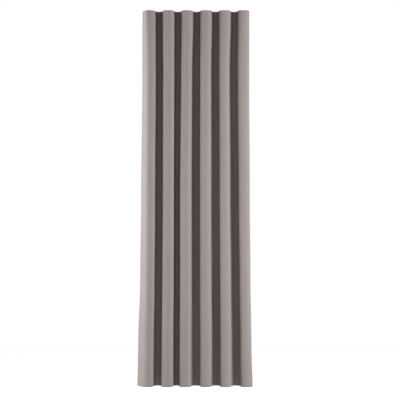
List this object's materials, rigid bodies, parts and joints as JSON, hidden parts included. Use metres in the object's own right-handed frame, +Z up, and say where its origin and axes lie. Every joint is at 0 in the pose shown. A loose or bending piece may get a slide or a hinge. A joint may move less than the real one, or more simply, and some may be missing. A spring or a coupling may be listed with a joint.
{
  "type": "curtain panel",
  "caption": "Floor-length wave-headed room curtain panel of opaque woven cloth, hung on snap hooks; its folds close up together as it is drawn.",
  "frame": {"origin": "middle of the hanging line, which runs through the eyes of all the hooks", "axes": "+X along the track to the right seen from the room, -Y towards the room, +Y towards the window, +Z up"},
  "size_m": [0.733, 0.083, 2.4],
  "materials": {
    "face_cloth": "matt woven, warm grey-taupe",
    "heading_tape": "white woven polyester tape",
    "thread": "spun polyester thread, matched to the cloth",
    "weight_cover": "plain lining cloth over a disc weight",
    "label": "satin ribbon, blank",
    "hook_plastic": "moulded acetal"
  },
  "bodies": {
    "wall_hook": {"hook_01": "hook_plastic"},
    "strip_01": {"cloth_strip_01": "face_cloth", "heading_tape_01": "heading_tape", "bottom_hem_01": "face_cloth", "side_hem_left": "face_cloth", "corner_weight_left": "weight_cover"},
    "strip_02": {"cloth_strip_02": "face_cloth", "heading_tape_02": "heading_tape", "bottom_hem_02": "face_cloth", "hook_02": "hook_plastic"},
    "strip_03": {"cloth_strip_03": "face_cloth", "heading_tape_03": "heading_tape", "bottom_hem_03": "face_cloth", "hook_03": "hook_plastic"},
    "strip_04": {"cloth_strip_04": "face_cloth", "heading_tape_04": "heading_tape", "bottom_hem_04": "face_cloth", "hook_04": "hook_plastic"},
    "strip_05": {"cloth_strip_05": "face_cloth", "heading_tape_05": "heading_tape", "bottom_hem_05": "face_cloth", "hook_05": "hook_plastic"},
    "strip_06": {"cloth_strip_06": "face_cloth", "heading_tape_06": "heading_tape", "bottom_hem_06": "face_cloth", "hook_06": "hook_plastic"},
    "strip_07": {"cloth_strip_07": "face_cloth", "heading_tape_07": "heading_tape", "bottom_hem_07": "face_cloth", "hook_07": "hook_plastic"},
    "strip_08": {"cloth_strip_08": "face_cloth", "heading_tape_08": "heading_tape", "bottom_hem_08": "face_cloth", "hook_08": "hook_plastic"},
    "strip_09": {"cloth_strip_09": "face_cloth", "heading_tape_09": "heading_tape", "bottom_hem_09": "face_cloth", "hook_09": "hook_plastic"},
    "strip_10": {"cloth_strip_10": "face_cloth", "heading_tape_10": "heading_tape", "bottom_hem_10": "face_cloth", "hook_10": "hook_plastic"},
    "strip_11": {"cloth_strip_11": "face_cloth", "heading_tape_11": "heading_tape", "bottom_hem_11": "face_cloth", "hook_11": "hook_plastic"},
    "strip_12": {"cloth_strip_12": "face_cloth", "heading_tape_12": "heading_tape", "bottom_hem_12": "face_cloth", "hook_12": "hook_plastic", "side_hem_right": "face_cloth", "corner_weight_right": "weight_cover", "care_label": "label"}
  },
  "joints": [
    {"name": "draw", "type": "hinge", "parent": "wall_hook", "child": "strip_01", "pos_m": [-0.33, 0, 0], "axis": [0, 0, -1], "range_deg": [0, 18]},
    {"name": "fold_01", "type": "hinge", "parent": "strip_01", "child": "strip_02", "pos_m": [-0.3, -0.04, 0], "axis": [0, 0, 1], "range_deg": [0, 36]},
    {"name": "fold_02", "type": "hinge", "parent": "strip_02", "child": "strip_03", "pos_m": [-0.24, 0.04, 0], "axis": [0, 0, -1], "range_deg": [0, 36]},
    {"name": "fold_03", "type": "hinge", "parent": "strip_03", "child": "strip_04", "pos_m": [-0.18, -0.04, 0], "axis": [0, 0, 1], "range_deg": [0, 36]},
    {"name": "fold_04", "type": "hinge", "parent": "strip_04", "child": "strip_05", "pos_m": [-0.12, 0.04, 0], "axis": [0, 0, -1], "range_deg": [0, 36]},
    {"name": "fold_05", "type": "hinge", "parent": "strip_05", "child": "strip_06", "pos_m": [-0.06, -0.04, 0], "axis": [0, 0, 1], "range_deg": [0, 36]},
    {"name": "fold_06", "type": "hinge", "parent": "strip_06", "child": "strip_07", "pos_m": [0, 0.04, 0], "axis": [0, 0, -1], "range_deg": [0, 36]},
    {"name": "fold_07", "type": "hinge", "parent": "strip_07", "child": "strip_08", "pos_m": [0.06, -0.04, 0], "axis": [0, 0, 1], "range_deg": [0, 36]},
    {"name": "fold_08", "type": "hinge", "parent": "strip_08", "child": "strip_09", "pos_m": [0.12, 0.04, 0], "axis": [0, 0, -1], "range_deg": [0, 36]},
    {"name": "fold_09", "type": "hinge", "parent": "strip_09", "child": "strip_10", "pos_m": [0.18, -0.04, 0], "axis": [0, 0, 1], "range_deg": [0, 36]},
    {"name": "fold_10", "type": "hinge", "parent": "strip_10", "child": "strip_11", "pos_m": [0.24, 0.04, 0], "axis": [0, 0, -1], "range_deg": [0, 36]},
    {"name": "fold_11", "type": "hinge", "parent": "strip_11", "child": "strip_12", "pos_m": [0.3, -0.04, 0], "axis": [0, 0, 1], "range_deg": [0, 36]}
  ],
  "couplings": [
    {"joint": "fold_01", "follows": "draw", "ratio": 2},
    {"joint": "fold_02", "follows": "draw", "ratio": 2},
    {"joint": "fold_03", "follows": "draw", "ratio": 2},
    {"joint": "fold_04", "follows": "draw", "ratio": 2},
    {"joint": "fold_05", "follows": "draw", "ratio": 2},
    {"joint": "fold_06", "follows": "draw", "ratio": 2},
    {"joint": "fold_07", "follows": "draw", "ratio": 2},
    {"joint": "fold_08", "follows": "draw", "ratio": 2},
    {"joint": "fold_09", "follows": "draw", "ratio": 2},
    {"joint": "fold_10", "follows": "draw", "ratio": 2},
    {"joint": "fold_11", "follows": "draw", "ratio": 2}
  ]
}
